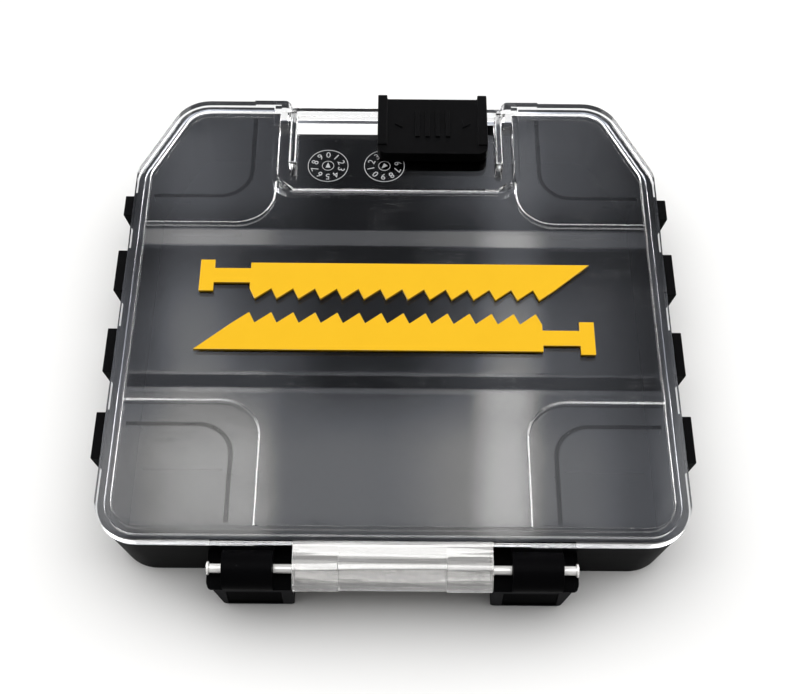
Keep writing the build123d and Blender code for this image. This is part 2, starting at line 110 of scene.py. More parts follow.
# where the lid's features lie, in the case's own frame
LID_LOW, LID_HIGH = reach("lid_cover")
RAIL_LOW, RAIL_HIGH = reach("latch_rail")
PLATE_LOWEST = LID_HIGH.z - 0.9 * MM        # every step of the plate's upper face is above this
LEDGE_TOP = LID_HIGH.z - 4.0 * MM
RAIL_START = RAIL_LOW.y - 0.15 * MM
RAIL_TOP = RAIL_HIGH.z + 0.1 * MM
WALL_FOOT = reach("hold_down_wall_near_left")[0].z
BAY_CORNER_X = (28.5 * MM, 34.4 * MM)       # the bay's near corners, whose edges are left crisp
BAY_CORNER_Y = (43.0 * MM, 50.5 * MM)
PIN_START = reach("hinge_bar")[1].x + 0.01 * MM     # the pins stick out beyond the bar's ends
BAR_START = LID_LOW.y - 0.15 * MM           # the hinge bar lies beyond the lid's near edge
OUTLINE_X = LID_HIGH.x - 13.0 * MM          # the outer wall lies beyond these three
NEAR_WALL = LID_LOW.y + 0.35 * MM
FAR_WALL = LID_HIGH.y - 5.85 * MM

# the front of the hinge knuckles' lower blocks
BLOCK_FRONT = -74.45 * MM
BLOCK_TOP = 14.0 * MM

# how near to such a place counts as being there
CLOSE = 0.1 * MM

# what the clear moulding's edges are told by
RAMP_TURN = (3.0, 8.0)          # degrees between a ramp and a flat
RAMP_LENGTH = 100.0 * MM        # a ramp's edge is longer than this
SHARP_TURN = 30.0               # degrees; a duller edge isn't rounded
SHORT_EDGE = 0.06 * MM          # nor is a shorter one

# vertices closer than this are one, in a CAD copy and in the joined lid
COPY_MERGE = 0.001 * MM
LID_MERGE = 0.04 * MM
FLAT_TURN = 0.5                 # degrees; triangles that turn less than this are one face

# the date dials on the latch's ledge
DIAL_PLACES = ((-20.0, 54.2, 0.0), (-3.4, 54.3, 140.0))     # middle in mm, and turn in degrees
DIAL_FIGURES = 10
DIAL_SINK = 0.02 * MM
# parts of a dial, in dial radii
RIM_WIDTH = 0.035
HUB_RADIUS = 0.30
HUB_WIDTH = 0.03
FIGURE_RADIUS = 0.66
FIGURE_SIZE = 0.50
ARROW_REACH = 0.20
ARROW_SHAPE = (0.7, 1.1, 1.0)

# fine ridges along the hinge bar
RIDGE_STRETCH = (0.03, 1.0, 1.0)
RIDGE_SCALE = 600.0
RIDGE_HEIGHT = 0.16 * MM

# a sliver has at most this many faces, with vertices closer than this taken as one
SLIVER_FACES = 6
SAME_PLACE = 0.0005 * MM

# scales of the finishes' noise, per metre
BLOTCH_SCALE = 70.0
RUB_SCALE = 350.0
SPECK_CHOICE_SCALE = 900.0
DRIFT_SCALE = 35.0
SCRATCH_PATCH_SCALE = 60.0
FLOW_SCALE = 80.0
HAIRLINE_SCALE = 900.0

# what the clear plastics differ in
BAR_CLEARNESS = 0.8
PIN_CLEARNESS = 0.1
SCUFFED_GLOSS = 1.0
DULL_BEND = 1.1                 # refractive index of the hold-down walls, which hardly shine
LAMP_SHADE = 0.35               # how much light the clear plastic lets through as a shadow
WAVE_HEIGHT = 0.008 * MM

# The studio's light is a function of direction: tilt is in degrees from straight up towards the latch
# side, and side goes from -1 at the left to 1 at the right. A band is dark before its first figure,
# full from its second to its third, and dark after its fourth.
SOFT_TILTS = (-26, -12, 45, 62)
SOFT_SIDES = (0.9, 0.7)             # distance to the side at which it is dark, and at which it is full
OVERHEAD_TILTS = (((-26, -22, -11, -8), 0.5), ((-11, -8, 4, 7), 0.75), ((4, 7, 18.5, 20.5), 0.13))
OVERHEAD_SIDES = (0.6, 0.5)
BOX_TILTS = (5, 15, 75, 85)
BOX_SIDES = (0.34, 0.44, 0.9, 0.97)
GAP_TILTS = (18, 20.5, 52, 64)      # the dark part of the room, which the lid's plate mirrors
GAP_SIDES = (0.40, 0.30)
ROOM_FRONT = (-28, -24, 0.14, 1.0)
ROOM_LOW_FRONT = (-48, -54, 0.0, 0.16)
FAR_WALL_TILTS = (58, 66, 84, 90)
DIM_ROOM = (2.4, 0.6)               # the room turns from warm to cool between these strengths

# the low window that the lid's hinge half mirrors
WINDOW_TILTS = (23.8, 24.8, 27.2, 31.4)
WINDOW_LEFT_END = (-0.205, -0.185, -0.5, 0.0)
WINDOW_RIGHT_END = (0.13, 0.175, 1.2, 0.6)
LEFT_PANE, LEFT_LIGHT = (-0.200, -0.135, -0.105, -0.075), 2.2
RIGHT_HAZE, RIGHT_HAZE_LIGHT = (-0.010, 0.065, 0.085, 0.125), 0.9
RIGHT_PANE, RIGHT_LIGHT = (0.050, 0.076, 0.084, 0.110), 2.4
RIGHT_PANE_TILTS = (23.8, 24.8, 29.6, 31.2)

# the streaks above it, where the panes' reflections fade upwards
THIN_STREAKS = (((-0.175, -0.145, -0.138, -0.100), 0.8), ((0.050, 0.082, 0.088, 0.115), 1.2))
THIN_TILTS = (((28.5, 30.5, 32.0, 36.5), 0.65), ((28.5, 30.5, 40.0, 41.0), 0.35))
THIN_RETURN = (41.2, 42.4)
WIDE_STREAKS = (((-0.210, -0.165, -0.100, -0.040), 0.5), ((0.000, 0.075, 0.110, 0.200), 0.6))
WIDE_TILTS = (28.5, 30.5, 32.0, 36.0)
WIDE_RISES = (((29.0, 31.0), 0.3), ((36.6, 38.4), 0.65))
WIDE_LEVEL = 0.75
ROOM_EDGES, EDGE_LIGHT = (0.180, 0.200), 0.7
ROOM_BASE = 0.2
ROOM_FADE = (33.0, 36.0, 0.0, 0.08)

WARM_WHITE = (1.0, 0.995, 0.985, 1.0)
COOL_WHITE = (0.95, 0.99, 1.10, 1.0)
FLOOR_WHITE = (0.85, 0.85, 0.85, 1.0)
FLOOR_RADIUS = 4.0


# ---- sizes and colours that a user would change ----
class CaseSizes(PropertyGroup):
    lid_rounding: FloatProperty(
        name="Lid rounding", description="Radius of the clear moulding's edges",
        default=0.16 * MM, min=0.0, unit="LENGTH", precision=5)
    ramp_rounding: FloatProperty(
        name="Ramp rounding", description="How far the dip's ramps run out into the flats",
        default=0.5 * MM, min=0.0, unit="LENGTH", precision=5)
    tray_rounding: FloatProperty(
        name="Tray rounding", description="Radius of the black tray's edges",
        default=0.4 * MM, min=0.0, unit="LENGTH", precision=5)
    fitting_rounding: FloatProperty(
        name="Fitting rounding", description="Radius of the edges of the knuckles, ribs, keeper and rests",
        default=0.25 * MM, min=0.0, unit="LENGTH", precision=5)
    latch_rounding: FloatProperty(
        name="Latch rounding", description="Radius of the latch's edges",
        default=0.3 * MM, min=0.0, unit="LENGTH", precision=5)
    latch_mark_rounding: FloatProperty(
        name="Latch mark rounding", description="Radius of the edges of the latch's ribs and arrows",
        default=0.15 * MM, min=0.0, unit="LENGTH", precision=5)
    emblem_rounding: FloatProperty(
        name="Emblem rounding", description="Radius of the raised blades' edges",
        default=0.12 * MM, min=0.0, unit="LENGTH", precision=5)
    dial_radius: FloatProperty(
        name="Dial radius", description="Outer radius of a date dial on the ledge",
        default=6.0 * MM, min=0.0, unit="LENGTH", precision=5)
    mark_height: FloatProperty(
        name="Mark height", description="How far the date dials stand up",
        default=0.12 * MM, min=0.0, unit="LENGTH", precision=5)


class CaseColours(PropertyGroup):
    tray: FloatVectorProperty(
        name="Tray", description="Black of the tray", subtype="COLOR", size=4,
        default=(0.0014, 0.0014, 0.0016, 1.0), min=0.0, max=1.0)
    # the knuckle front's lighter black is painted light: it stands for the light on the cheeks, against the
    # shade in the sunk panel, which keeps the tray's black
    cheek: FloatVectorProperty(
        name="Knuckle front", description="Textured black round a knuckle's sunk panel",
        subtype="COLOR", size=4, default=(0.017, 0.017, 0.018, 1.0), min=0.0, max=1.0)
    latch: FloatVectorProperty(
        name="Latch", description="Black of the latch", subtype="COLOR", size=4,
        default=(0.0018, 0.0018, 0.0020, 1.0), min=0.0, max=1.0)
    lid: FloatVectorProperty(
        name="Lid", description="Tint of the clear lid", subtype="COLOR", size=4,
        default=(0.97, 0.975, 0.985, 1.0), min=0.0, max=1.0)
    hinge: FloatVectorProperty(
        name="Hinge bar", description="Tint of the scuffed hinge bar and pins", subtype="COLOR", size=4,
        default=(0.95, 0.94, 0.925, 1.0), min=0.0, max=1.0)
    emblem: FloatVectorProperty(
        name="Emblem", description="Yellow of the raised blades", subtype="COLOR", size=4,
        default=(0.78, 0.455, 0.010, 1.0), min=0.0, max=1.0)
    mark: FloatVectorProperty(
        name="Mark", description="Frosted plastic of the moulded marks", subtype="COLOR", size=4,
        default=(0.40, 0.41, 0.42, 1.0), min=0.0, max=1.0)
    dust: FloatVectorProperty(
        name="Dust", description="Specks of dust on the mouldings", subtype="COLOR", size=4,
        default=(0.10, 0.10, 0.11, 1.0), min=0.0, max=1.0)


class StudioSettings(PropertyGroup):
    camera_place: FloatVectorProperty(
        name="Camera place", description="Where the camera stands", subtype="TRANSLATION", size=3,
        default=(0.00005, -0.20909, 0.34373), unit="LENGTH")
    camera_pitch: FloatProperty(
        name="Camera pitch", description="How far below level the camera looks",
        default=1.01475390, unit="ROTATION")
    camera_yaw: FloatProperty(
        name="Camera yaw", description="Turn of the camera to the right",
        default=0.00323445, unit="ROTATION")
    camera_roll: FloatProperty(
        name="Camera roll", description="Tilt of the camera about its view",
        default=0.01072078, unit="ROTATION")
    focal_length: FloatProperty(
        name="Focal length", description="Lens in millimetres on a sensor 36 mm wide",
        default=63.476, min=1.0)
    soft_light: FloatProperty(
        name="Soft light", description="Strength of the broad light behind the case",
        default=2.35, min=0.0)
    backdrop: FloatProperty(
        name="Backdrop", description="Brightness of the wall seen beyond the floor", default=0.9, min=0.0)
    fill_light: FloatProperty(
        name="Fill light", description="Strength of the even light all round", default=0.10, min=0.0)
    overhead: FloatProperty(
        name="Overhead", description="Brightness of the soft box that glossy edges mirror",
        default=11.0, min=0.0)
    side_boxes: FloatProperty(
        name="Side boxes", description="Brightness of the soft boxes left and right of the case",
        default=8.0, min=0.0)
    far_wall: FloatProperty(
        name="Far wall", description="Brightness of the wall beyond the case, low down",
        default=5.0, min=0.0)
    room: FloatProperty(
        name="Room", description="Brightness of the pale room that glossy edges mirror",
        default=2.6, min=0.0)


# ---- modelling helpers ----
def only(piece):
    """Select one object and make it active."""
    bpy.ops.object.select_all(action="DESELECT")
    piece.select_set(True)
    bpy.context.view_layer.objects.active = piece


def merge_flats(piece, nearest):
    """Join vertices that are almost one, and join the triangles of each flat face."""
    only(piece)
    bpy.ops.object.mode_set(mode="EDIT")
    bpy.ops.mesh.select_all(action="SELECT")
    bpy.ops.mesh.remove_doubles(threshold=nearest)
    bpy.ops.mesh.dissolve_limited(angle_limit=math.radians(FLAT_TURN))
    bpy.ops.object.mode_set(mode="OBJECT")


def drop_slivers(piece):
    """Remove the folded slivers, a few faces each, that a union and a merge can leave."""
    mesh = bmesh.new()
    mesh.from_mesh(piece.data)
    bmesh.ops.remove_doubles(mesh, verts=mesh.verts, dist=SAME_PLACE)
    bmesh.ops.triangulate(mesh, faces=mesh.faces)
    waiting, slivers = set(mesh.faces), []
    while waiting:
        group = [waiting.pop()]
        for face in group:
            plain_edges = [edge for edge in face.edges if len(edge.link_faces) == 2]
            beside = {other for edge in plain_edges for other in edge.link_faces} & waiting
            waiting -= beside
            group += beside
        if len(group) <= SLIVER_FACES:
            slivers += group
    bmesh.ops.delete(mesh, geom=slivers, context="FACES")
    mesh.to_mesh(piece.data)
    mesh.free()


def copy_of(node, name):
    """A copy of a CAD node with its loose triangles joined into flat faces."""
    only(frame["nodes"][node])
    bpy.ops.object.duplicate()
    piece = bpy.context.view_layer.objects.active
    piece.name = piece.data.name = name
    del piece["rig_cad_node"]
    merge_flats(piece, COPY_MERGE)
    bpy.ops.mesh.customdata_custom_splitnormals_clear()
    return piece


def join(pieces):
    """Make the first piece hold all of them."""
    only(pieces[0])
    for piece in pieces:
        piece.select_set(True)
    bpy.ops.object.join()
    return pieces[0]


def apply_modifier(piece, kind, **settings):
    """Add a modifier with its settings and apply it."""
    only(piece)
    modifier = piece.modifiers.new(kind.title(), kind)
    for key, value in settings.items():
        setattr(modifier, key, value)
    bpy.ops.object.modifier_apply(modifier=modifier.name)


def bevel_where(piece, wanted, radius, segments):
    """Round the edges for which wanted(edge) holds."""
    only(piece)
    bpy.ops.object.mode_set(mode="EDIT")
    bpy.ops.mesh.select_all(action="DESELECT")
    bpy.ops.mesh.select_mode(type="EDGE")
    mesh = bmesh.from_edit_mesh(piece.data)
    for edge in mesh.edges:
        if len(edge.link_faces) == 2 and wanted(edge):
            edge.select_set(True)
    bmesh.update_edit_mesh(piece.data)
    bpy.ops.mesh.bevel(offset=radius, offset_type="OFFSET", segments=segments, profile=0.5,
                       clamp_overlap=False, miter_outer="ARC")
    bpy.ops.object.mode_set(mode="OBJECT")


def smooth_shade(piece):
    """Shade a piece smooth up to its sharp edges, with its large flat faces kept flat."""
    only(piece)
    bpy.ops.object.shade_smooth_by_angle(angle=math.radians(SHARP_TURN))
    apply_modifier(piece, "WEIGHTED_NORMAL", mode="FACE_AREA", weight=100, keep_sharp=True)


def round_edges(piece, radius):
    """Round every sharp edge, and shade the rest smooth."""
    apply_modifier(
        piece, "BEVEL", width=radius, segments=2, limit_method="ANGLE",
        angle_limit=math.radians(SHARP_TURN), use_clamp_overlap=True, miter_outer="MITER_ARC",
        harden_normals=False)
    smooth_shade(piece)


def finish(piece, body, material, nodes=()):
    """Give a piece its material, its body, and the nodes that it stands for."""
    piece.data.materials.clear()
    piece.data.materials.append(material)
    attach(piece, body)
    if nodes:
        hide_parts(*nodes)


# ---- shader helpers ----
class Wiring:
    """Adds nodes to a node tree and wires them up."""

    def __init__(self, tree):
        self.tree = tree

    def add(self, kind, **settings):
        """A new node of a kind, with its settings."""
        node = self.tree.nodes.new(kind)
        for key, value in settings.items():
            setattr(node, key, value)
        return node

    def feed(self, socket, value):
        """Wire a socket to another one, or set it to a plain value."""
        if isinstance(value, bpy.types.NodeSocket):
            self.tree.links.new(value, socket)
        else:
            socket.default_value = value

    def math(self, operation, *values):
        """One step of arithmetic on one to three values."""
        node = self.add("ShaderNodeMath", operation=operation)
        for socket, value in zip(node.inputs, values):
            self.feed(socket, value)
        return node.outputs[0]

    def ramp(self, value, start, end, low=0.0, high=1.0):
        """A soft step from low at start to high at end."""
        node = self.add("ShaderNodeMapRange", interpolation_type="SMOOTHSTEP")
        if start > end:
            start, end, low, high = end, start, high, low
        for name, given in (("Value", value), ("From Min", start), ("From Max", end),
                            ("To Min", low), ("To Max", high)):
            self.feed(node.inputs[name], given)
        return node.outputs["Result"]

    def band(self, value, start, full, full_end, end):
        """A soft band: nothing before start, whole from full to full_end, nothing after end."""
        return self.math("MULTIPLY", self.ramp(value, start, full), self.ramp(value, end, full_end))

    def total(self, *values):
        """All the values added up."""
        result = values[0]
        for value in values[1:]:
            result = self.math("ADD", result, value)
        return result

    def product(self, *values):
        """All the values multiplied."""
        result = values[0]
        for value in values[1:]:
            result = self.math("MULTIPLY", result, value)
        return result

    def blend(self, mask, first, second):
        """A colour that goes from first to second with a mask."""
        node = self.add("ShaderNodeMix", data_type="RGBA")
        self.feed(node.inputs["Factor"], mask)
        colours = [socket for socket in node.inputs if socket.type == "RGBA"]
        self.feed(colours[0], first)
        self.feed(colours[1], second)
        return [socket for socket in node.outputs if socket.type == "RGBA"][0]

    def bands(self, value, limits_and_levels):
        """Several soft bands added up, each with a level of its own."""
        return self.total(*[self.product(self.band(value, *limits), level)
                            for limits, level in limits_and_levels])

    def noise(self, place, scale, detail=3.0):
        """Cloudy noise from 0 to 1."""
        node = self.add("ShaderNodeTexNoise")
        self.feed(node.inputs["Vector"], place)
        self.feed(node.inputs["Scale"], scale)
        node.inputs["Detail"].default_value = detail
        node.inputs["Roughness"].default_value = 0.6
        return node.outputs["Fac"]


def new_group(name, inputs, outputs):
    """A shader node group with named number inputs and outputs."""
    tree = bpy.data.node_groups.new(name, "ShaderNodeTree")
    for socket in inputs:
        tree.interface.new_socket(socket, in_out="INPUT", socket_type="NodeSocketFloat")
    for socket in outputs:
        tree.interface.new_socket(socket, in_out="OUTPUT", socket_type="NodeSocketFloat")
    wires = Wiring(tree)
    return wires, wires.add("NodeGroupInput").outputs, wires.add("NodeGroupOutput").inputs


def spark_grain_group():
    """Fine spark-eroded grain of a moulded surface: a height, and a roughness that wanders."""
    wires, given, result = new_group("spark_grain", ("Scale", "Roughness", "Spread"),
                                     ("Height", "Roughness", "Blotch"))
    place = wires.add("ShaderNodeTexCoord").outputs["Object"]
    blotch = wires.noise(place, BLOTCH_SCALE, detail=4.0)
    wires.feed(result["Height"], wires.noise(place, given["Scale"]))
    wander = wires.math("MULTIPLY_ADD", blotch, given["Spread"], given["Roughness"])
    half = wires.math("MULTIPLY", given["Spread"], 0.5)
    wires.feed(result["Roughness"], wires.math("SUBTRACT", wander, half))
    wires.feed(result["Blotch"], blotch)
    return wires.tree


def worn_edge_group():
    """Mask of the edges that hands rub, broken up by noise."""
    wires, given, result = new_group("worn_edge", ("Width", "Amount"), ("Mask",))
    bend = wires.add("ShaderNodeBevel", samples=4)
    wires.feed(bend.inputs["Radius"], given["Width"])
    facing = wires.add("ShaderNodeVectorMath", operation="DOT_PRODUCT")
    wires.feed(facing.inputs[0], bend.outputs["Normal"])
    wires.feed(facing.inputs[1], wires.add("ShaderNodeNewGeometry").outputs["Normal"])
    turn = wires.math("SUBTRACT", 1.0, facing.outputs["Value"])
    edge = wires.ramp(turn, 0.01, 0.12)
    place = wires.add("ShaderNodeTexCoord").outputs["Object"]
    patch = wires.ramp(wires.noise(place, RUB_SCALE, detail=5.0), 0.35, 0.7)
    wires.feed(result["Mask"], wires.product(edge, patch, given["Amount"]))
    return wires.tree


def dust_group():
    """Mask of single dust specks, thicker in some places than in others."""
    wires, given, result = new_group("dust_specks", ("Scale", "Amount"), ("Mask",))
    place = wires.add("ShaderNodeTexCoord").outputs["Object"]
    cells = wires.add("ShaderNodeTexVoronoi")
    wires.feed(cells.inputs["Vector"], place)
    wires.feed(cells.inputs["Scale"], given["Scale"])
    speck = wires.ramp(cells.outputs["Distance"], 0.14, 0.04)
    choice = wires.noise(cells.outputs["Position"], SPECK_CHOICE_SCALE, detail=0.0)
    kept = wires.ramp(choice, 0.58, 0.66)
    drift = wires.ramp(wires.noise(place, DRIFT_SCALE), 0.3, 0.75, low=0.2)
    wires.feed(result["Mask"], wires.product(speck, kept, drift, given["Amount"]))
    return wires.tree


def hairline_group():
    """Mask of hairline scratches that run two ways across a clear face."""
    wires, given, result = new_group("hairlines", ("Scale", "Amount"), ("Mask",))
    place = wires.add("ShaderNodeTexCoord").outputs["Object"]
    turns_and_stretches = ((0.35, 0.03), (-0.9, 0.05))
    lines = []
    for turn, stretch in turns_and_stretches:
        mapping = wires.add("ShaderNodeMapping")
        wires.feed(mapping.inputs["Vector"], place)
        mapping.inputs["Rotation"].default_value = (0.0, 0.0, turn)
        mapping.inputs["Scale"].default_value = (stretch, 1.0, 1.0)
        streak = wires.noise(mapping.outputs["Vector"], given["Scale"], detail=1.0)
        lines.append(wires.band(streak, 0.490, 0.499, 0.501, 0.510))
    sparse = wires.ramp(wires.noise(place, SCRATCH_PATCH_SCALE), 0.48, 0.62)
    wires.feed(result["Mask"], wires.product(wires.math("MAXIMUM", *lines), sparse, given["Amount"]))
    return wires.tree


GROUP_MAKERS = {
    "spark_grain": spark_grain_group,
    "worn_edge": worn_edge_group,
    "dust_specks": dust_group,
    "hairlines": hairline_group,
}


def place_group(wires, name, **values):
    """Place a node group in a material with its own values, and make the group the first time."""
    node = wires.add("ShaderNodeGroup")
    node.node_tree = bpy.data.node_groups.get(name) or GROUP_MAKERS[name]()
    for key, value in values.items():
        node.inputs[key.capitalize()].default_value = value
    return node.outputs


def new_material(name):
    """A material, the wiring of its nodes, its Principled node and its output."""
    material = bpy.data.materials.new(name)
    material.use_nodes = True
    nodes = material.node_tree.nodes
    return material, Wiring(material.node_tree), nodes["Principled BSDF"], nodes["Material Output"]


def relief(wires, height, strength, distance):
    """A normal that follows a height."""
    bump = wires.add("ShaderNodeBump")
    bump.inputs["Strength"].default_value = strength
    bump.inputs["Distance"].default_value = distance
    wires.feed(bump.inputs["Height"], height)
    return bump.outputs["Normal"]


# ---- materials ----
def tinted(colour, factor):
    """A colour made lighter or darker, with its alpha left whole."""
    return [channel * factor for channel in colour[:3]] + [1.0]


def black_plastic(name, colour, dust_colour, grain_scale, roughness, bump, gloss):
    """Black moulded plastic with a fine grain, rubbed edges and a little dust."""
    material, wires, skin, _ = new_material(name)
    grain = place_group(wires, "spark_grain", scale=grain_scale, roughness=roughness, spread=0.16)
    worn = place_group(wires, "worn_edge", width=0.35 * MM, amount=0.5)
    dust = place_group(wires, "dust_specks", scale=420.0, amount=0.15)
    skin_colour = wires.blend(grain["Blotch"], colour, tinted(colour, 2.0))
    skin_colour = wires.blend(worn["Mask"], skin_colour, tinted(colour, 4.0))
    skin_colour = wires.blend(dust["Mask"], skin_colour, dust_colour)
    wires.feed(skin.inputs["Base Color"], skin_colour)
    smoother = wires.product(worn["Mask"], -0.12)
    wires.feed(skin.inputs["Roughness"], wires.math("ADD", grain["Roughness"], smoother))
    wires.feed(skin.inputs["Normal"], relief(wires, grain["Height"], bump, 0.05 * MM))
    skin.inputs["Specular IOR Level"].default_value = gloss
    return material


def clear_plastic(name, colour, clearness=1.0, bend=1.58, gloss=0.5, ridges=0.0):
    """Clear moulded plastic, faintly wavy, with hairlines and a little dust.

    `bend` is its refractive index, and `ridges` the height of fine ridges along the piece.
    """
    material, wires, skin, output = new_material(name)
    place = wires.add("ShaderNodeTexCoord").outputs["Object"]
    lines = place_group(wires, "hairlines", scale=HAIRLINE_SCALE, amount=0.16)
    dust = place_group(wires, "dust_specks", scale=300.0, amount=0.2)
    flow = wires.noise(place, FLOW_SCALE, detail=2.0)
    wires.feed(skin.inputs["Base Color"], wires.blend(flow, colour, tinted(colour, 0.93)))
    wires.feed(skin.inputs["Roughness"], wires.total(0.015, lines["Mask"], dust["Mask"]))
    if ridges:
        along = wires.add("ShaderNodeVectorMath", operation="MULTIPLY")
        wires.feed(along.inputs[0], place)
        along.inputs[1].default_value = RIDGE_STRETCH
        drawn = wires.noise(along.outputs["Vector"], RIDGE_SCALE, detail=1.0)
        wires.feed(skin.inputs["Normal"], relief(wires, drawn, 1.0, ridges))
    else:
        wires.feed(skin.inputs["Normal"], relief(wires, flow, 1.0, WAVE_HEIGHT))
    skin.inputs["Transmission Weight"].default_value = clearness
    skin.inputs["IOR"].default_value = bend
    skin.inputs["Specular IOR Level"].default_value = gloss
    lamp_way = wires.add("ShaderNodeBsdfTransparent")
    lamp_way.inputs["Color"].default_value = tinted(colour, LAMP_SHADE)
    path = wires.add("ShaderNodeLightPath")
    shader = skin.outputs["BSDF"]
    for ray in ("Is Shadow Ray", "Is Diffuse Ray"):
        choice = wires.add("ShaderNodeMixShader")
        wires.feed(choice.inputs["Fac"], path.outputs[ray])
        wires.feed(choice.inputs[1], shader)
        wires.feed(choice.inputs[2], lamp_way.outputs["BSDF"])
        shader = choice.outputs["Shader"]
    wires.feed(output.inputs["Surface"], shader)
    return material


def yellow_foil(name, colour):
    """Hot-stamped yellow foil: even, a little worn at the edges."""
    material, wires, skin, _ = new_material(name)
    grain = place_group(wires, "spark_grain", scale=2500.0, roughness=0.38, spread=0.14)
    worn = place_group(wires, "worn_edge", width=0.2 * MM, amount=0.5)
    deeper = [colour[0] * 0.93, colour[1] * 0.90, colour[2] * 0.8, 1.0]
    paler = (0.85, 0.80, 0.55, 1.0)
    skin_colour = wires.blend(grain["Blotch"], colour, deeper)
    wires.feed(skin.inputs["Base Color"], wires.blend(worn["Mask"], skin_colour, paler))
    wires.feed(skin.inputs["Roughness"], grain["Roughness"])
    wires.feed(skin.inputs["Normal"], relief(wires, grain["Height"], 0.15, 0.02 * MM))
    skin.inputs["Specular IOR Level"].default_value = 0.08
    return material


def frosted_mark(name, colour):
    """Frosted face of a raised mark on the clear lid."""
    material, wires, skin, _ = new_material(name)
    grain = place_group(wires, "spark_grain", scale=6000.0, roughness=0.5, spread=0.2)
    brighter = [min(1.0, channel * 1.5) for channel in colour[:3]] + [1.0]
    wires.feed(skin.inputs["Base Color"], wires.blend(grain["Blotch"], colour, brighter))
    wires.feed(skin.inputs["Roughness"], grain["Roughness"])
    wires.feed(skin.inputs["Normal"], relief(wires, grain["Height"], 0.3, 0.03 * MM))
    skin.inputs["Alpha"].default_value = 0.7
    return material


# ---- pieces ----
class SAWCASE_OT_tray(Operator):
    """Finish the black tray with its grip ribs, keeper, rests and hinge knuckles"""
    bl_idname = "sawcase.tray"
    bl_label = "Tray"

    def execute(self, context):
        sizes, colours = context.scene.sawcase_sizes, context.scene.sawcase_colours
        tray_skin = black_plastic("black_tray_plastic", colours.tray, colours.dust,
                                  grain_scale=9000.0, roughness=0.42, bump=0.25, gloss=0.012)
        knuckle_skin = black_plastic("black_knuckle_plastic", colours.tray, colours.dust,
                                     grain_scale=12000.0, roughness=0.36, bump=0.12, gloss=0.005)
        # the cheeks' textured black is lighter than the tray's: painted light, against the shade in the
        # knuckle's sunk panel
        painted_lit_cheek_skin = black_plastic("black_textured_painted_lit_plastic", colours.cheek, colours.dust,
                                   grain_scale=12000.0, roughness=0.55, bump=0.30, gloss=0.005)
        for node in TRAY_NODES + KNUCKLE_NODES:
            piece = copy_of(node, f"{node}_moulding")
            round_edges(piece, sizes.tray_rounding if node == "base_tray" else sizes.fitting_rounding)
            skin = knuckle_skin if node in KNUCKLE_NODES else tray_skin
            finish(piece, "base", skin, [node])
            if node in KNUCKLE_NODES:
                self.texture_cheeks(piece, painted_lit_cheek_skin)
        return {"FINISHED"}

    @staticmethod
    def texture_cheeks(piece, skin):
        """Give the front of a knuckle's lower block, round its sunk panel, the textured plastic, whose
        lighter black is painted light set against the shade in the sunk panel.
        """
        piece.data.materials.append(skin)
        for face in piece.data.polygons:
            in_front = abs(face.center.y - BLOCK_FRONT) < CLOSE and face.center.z < BLOCK_TOP
            if in_front and face.normal.y < -0.9:
                face.material_index = 1


